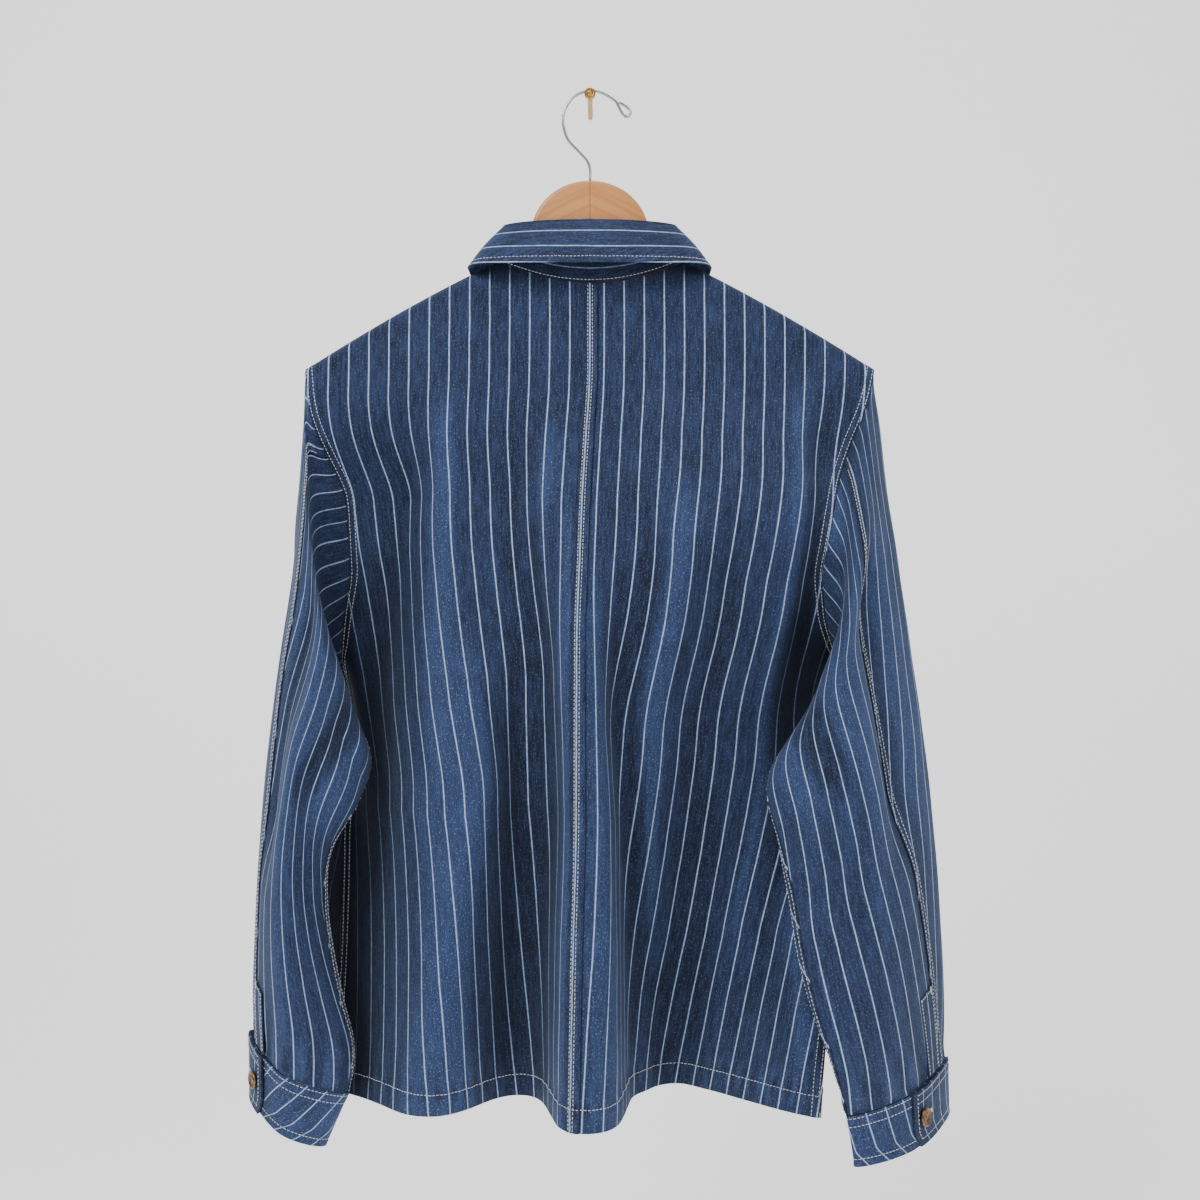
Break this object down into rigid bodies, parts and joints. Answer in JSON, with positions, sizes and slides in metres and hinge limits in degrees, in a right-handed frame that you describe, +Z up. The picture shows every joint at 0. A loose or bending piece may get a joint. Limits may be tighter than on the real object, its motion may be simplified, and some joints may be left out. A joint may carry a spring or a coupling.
{
  "type": "chore jacket on a wooden hanger with wall nail",
  "caption": "Pinstripe denim chore jacket seen from the back, empty and open at hem, cuffs and neck, hung on a wooden hanger by its wire hook from a nail.",
  "frame": {"origin": "the point where the crown of the hook rests on the nail, on the plane of the hanger", "axes": "+Z up, +Y from the jacket's back towards the wall behind its front, +X towards the wearer's right sleeve"},
  "size_m": [0.5728, 0.1896, 0.8709],
  "materials": {
    "denim": "matte indigo twill with pale pinstripes",
    "wood": "satin lacquered honey wood",
    "wire": "plated steel wire",
    "nail_brass": "polished brass",
    "button_brass": "antique brass"
  },
  "bodies": {
    "root": {"back_left": "denim", "back_right": "denim", "front_left": "denim", "front_right": "denim", "sleeve_top_left": "denim", "sleeve_top_right": "denim", "sleeve_under_left": "denim", "sleeve_under_right": "denim", "cuff_left": "denim", "cuff_right": "denim", "placket_left": "denim", "placket_right": "denim", "collar_stand": "denim", "collar_fall": "denim", "pocket_hip_left": "denim", "pocket_hip_right": "denim", "pocket_chest_left": "denim", "hanger_wood": "wood", "hook_wire": "wire", "wall_nail": "nail_brass", "button_cuff_left": "button_brass", "button_cuff_right": "button_brass", "button_front_1": "button_brass", "button_front_2": "button_brass", "button_front_3": "button_brass", "button_front_4": "button_brass", "button_front_5": "button_brass"}
  },
  "joints": []
}
